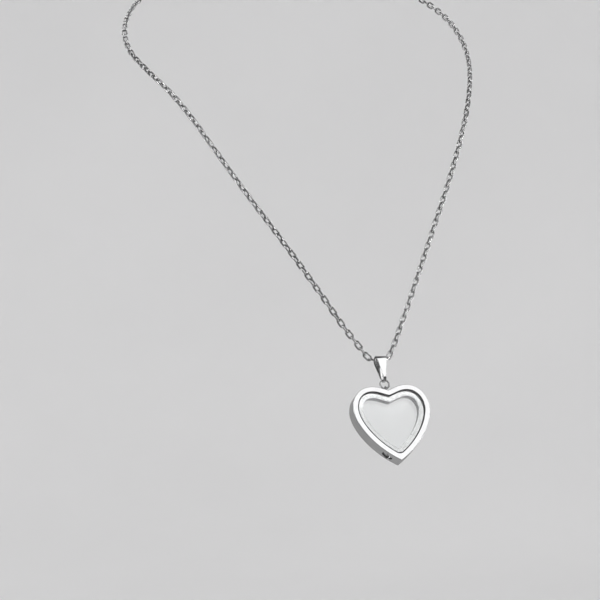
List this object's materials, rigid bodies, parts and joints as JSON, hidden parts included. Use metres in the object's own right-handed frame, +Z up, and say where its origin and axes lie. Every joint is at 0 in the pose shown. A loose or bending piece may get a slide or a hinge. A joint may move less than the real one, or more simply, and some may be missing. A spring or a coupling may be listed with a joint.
{
  "type": "locket",
  "caption": "Heart-shaped window locket with clear panes and a screwed filling port, hung by a bail on an oval cable chain with a lobster clasp.",
  "frame": {"origin": "middle of the nape, at the clasp, where a neck or display stand holds the chain up", "axes": "+Z up, the locket faces -Y, +X to the right of someone who looks at the front"},
  "size_m": [0.1185, 0.1254, 0.173],
  "materials": {
    "polished_steel": "mirror polished",
    "chain_steel": "polished, darker in the gaps",
    "clasp_steel": "polished",
    "spring_steel": "plain drawn wire",
    "window_glass": "clear, polished, chamfered edge",
    "clear_adhesive": "cured clear bead",
    "washer_rubber": "black, matt"
  },
  "bodies": {
    "chain": {"chain_left": "chain_steel", "chain_right": "chain_steel", "link_centre": "chain_steel", "link_left_01": "chain_steel", "link_left_02": "chain_steel", "link_left_03": "chain_steel", "link_left_04": "chain_steel", "link_left_05": "chain_steel", "link_left_06": "chain_steel", "link_left_07": "chain_steel", "link_left_08": "chain_steel", "link_left_09": "chain_steel", "link_left_10": "chain_steel", "link_left_11": "chain_steel", "link_left_12": "chain_steel", "link_left_end": "chain_steel", "link_right_01": "chain_steel", "link_right_02": "chain_steel", "link_right_03": "chain_steel", "link_right_04": "chain_steel", "link_right_05": "chain_steel", "link_right_06": "chain_steel", "link_right_07": "chain_steel", "link_right_08": "chain_steel", "link_right_09": "chain_steel", "link_right_10": "chain_steel", "link_right_11": "chain_steel", "link_right_12": "chain_steel", "link_right_end": "chain_steel", "clasp_body": "clasp_steel", "clasp_ring": "clasp_steel", "clasp_rivet": "clasp_steel", "clasp_spring": "spring_steel", "end_ring": "clasp_steel"},
    "bail": {"bail": "polished_steel"},
    "jump_ring": {"jump_ring": "polished_steel"},
    "locket": {"heart_frame": "polished_steel", "frame_eye": "polished_steel", "front_pane": "window_glass", "back_pane": "window_glass", "front_seal": "clear_adhesive", "back_seal": "clear_adhesive"},
    "port_washer": {"port_washer": "washer_rubber"},
    "port_screw": {"port_screw": "polished_steel"},
    "clasp_lever": {"clasp_lever": "clasp_steel"}
  },
  "joints": [
    {"name": "bail_swing", "type": "hinge", "parent": "chain", "child": "bail", "pos_m": [0, -0.1075, -0.1375], "axis": [1, 0, 0], "range_deg": [-2, 75]},
    {"name": "ring_swing", "type": "hinge", "parent": "bail", "child": "jump_ring", "pos_m": [0, -0.11, -0.14339], "axis": [1, 0, 0], "range_deg": [-60, 60]},
    {"name": "locket_rock", "type": "hinge", "parent": "jump_ring", "child": "locket", "pos_m": [0, -0.11056, -0.1447], "axis": [0, -0.9205, 0.3907], "range_deg": [-30, 30]},
    {"name": "screw_out", "type": "slide", "parent": "locket", "child": "port_washer", "axis": [-0.6332, -0.3024, -0.7124], "range_m": [0, 0.0024]},
    {"name": "screw_turn", "type": "hinge", "parent": "port_washer", "child": "port_screw", "pos_m": [-0.00366, -0.11976, -0.16637], "axis": [-0.6332, -0.3024, -0.7124], "range_deg": [0, 2160.5]},
    {"name": "clasp_lever", "type": "hinge", "parent": "chain", "child": "clasp_lever", "pos_m": [-0.0019, 0, 0.0009], "axis": [0, 1, 0], "range_deg": [0, 22], "stiffness_Nm_per_rad": 0.0005, "springref_deg": -17.19}
  ],
  "couplings": [
    {"joint": "screw_turn", "follows": "screw_out", "rad_per_m": 15708}
  ]
}
